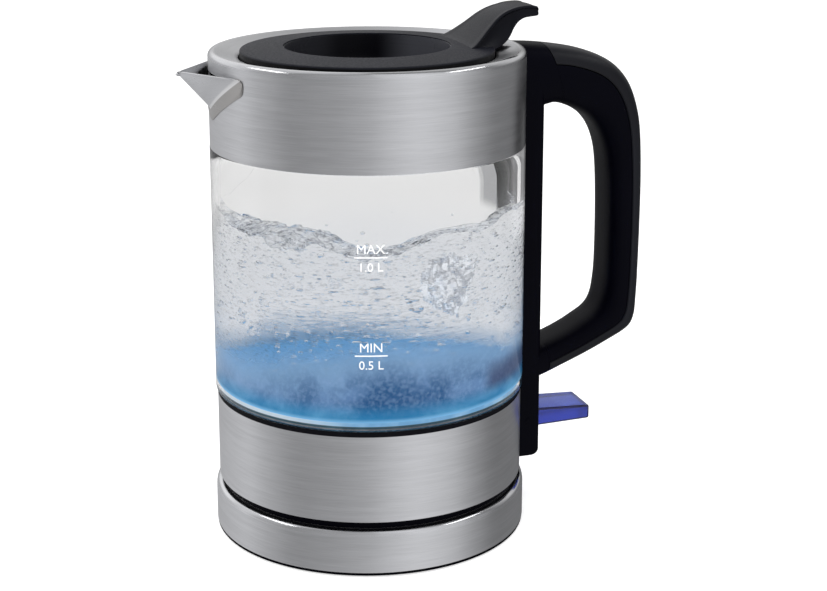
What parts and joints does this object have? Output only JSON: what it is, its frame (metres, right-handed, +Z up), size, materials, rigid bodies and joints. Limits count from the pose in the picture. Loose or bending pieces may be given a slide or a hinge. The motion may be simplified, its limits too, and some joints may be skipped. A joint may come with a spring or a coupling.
{
  "type": "electric kettle",
  "caption": "Cordless glass jug kettle with a steel collar and foot ring, folded V spout, hinged lid with a thumb lever, strap handle, rocking switch and round power base.",
  "frame": {"origin": "on the jug's axis, at the face of the base's rubber foot", "axes": "+X towards the handle, -X towards the spout, +Z up; the XZ plane halves the jug"},
  "size_m": [0.2042, 0.1355, 0.2224],
  "materials": {
    "brushed_steel": "brushed round the body",
    "black_plastic": "fine matt grain",
    "gloss_black": "polished",
    "ivory_plastic": "plain moulding",
    "clear_blue": "see-through blue",
    "clear_glass": "clear",
    "black_rubber": "matt",
    "grey_silicone": "translucent matt",
    "screw_steel": "bright",
    "contact_brass": "bright",
    "spreader_aluminium": "cast",
    "board_green": "solder mask",
    "lamp_blue": "clear blue"
  },
  "bodies": {
    "base": {"base_ring": "brushed_steel", "base_deck": "black_plastic", "base_cover": "black_plastic", "foot_ring": "black_rubber", "base_screws": "screw_steel", "base_socket": "black_plastic", "socket_rings": "contact_brass", "cord_inlet": "black_rubber"},
    "centre_contact": {"centre_contact": "contact_brass"},
    "jug": {"jug_bottom": "black_plastic", "bottom_screws": "screw_steel", "lower_ring": "brushed_steel", "jug_plug": "black_plastic", "plug_contacts": "contact_brass", "control_unit": "ivory_plastic", "bimetal_discs": "screw_steel", "heating_plate": "brushed_steel", "heat_spreader": "spreader_aluminium", "heating_element": "screw_steel", "element_tabs": "contact_brass", "glass_seat": "black_plastic", "led_board": "board_green", "leds": "lamp_blue", "light_ring": "clear_glass", "lower_seal": "grey_silicone", "seal_band": "black_rubber", "glass_body": "clear_glass", "upper_seal": "black_rubber", "collar": "brushed_steel", "spout": "brushed_steel", "neck_ring": "black_plastic", "hinge_pin": "screw_steel", "handle_body": "black_plastic", "handle_cover": "black_plastic", "handle_screws": "screw_steel", "steam_tube": "grey_silicone", "steam_disc": "screw_steel", "lever_pin": "screw_steel"},
    "lid": {"lid_top": "black_plastic", "lid_dish": "gloss_black", "lid_inner": "brushed_steel", "lid_seal": "grey_silicone", "lid_screws": "screw_steel"},
    "switch": {"switch_lever": "clear_blue"},
    "trip_rod": {"trip_rod": "ivory_plastic"},
    "filter": {"filter_frame": "black_plastic", "filter_mesh": "screw_steel"}
  },
  "joints": [
    {"name": "jug_turn", "type": "hinge", "parent": "base", "child": "centre_contact", "pos_m": [0, 0, 0.015], "axis": [0, 0, 1], "continuous": true},
    {"name": "jug_lift", "type": "slide", "parent": "centre_contact", "child": "jug", "axis": [0, 0, 1], "range_m": [0, 0.08]},
    {"name": "lid_hinge", "type": "hinge", "parent": "jug", "child": "lid", "pos_m": [0.057, 0, 0.203], "axis": [0, 1, 0], "range_deg": [0, 29]},
    {"name": "switch_rock", "type": "hinge", "parent": "jug", "child": "switch", "pos_m": [0.07, 0, 0.038], "axis": [0, -1, 0], "range_deg": [0, 12]},
    {"name": "trip_slide", "type": "slide", "parent": "jug", "child": "trip_rod", "axis": [0, 0, -1], "range_m": [0, 0.0016]},
    {"name": "filter_unclip", "type": "slide", "parent": "jug", "child": "filter", "axis": [1, 0, 0], "range_m": [0, 0.007]}
  ],
  "couplings": [
    {"joint": "trip_slide", "follows": "switch_rock", "m_per_rad": 0.0075}
  ]
}
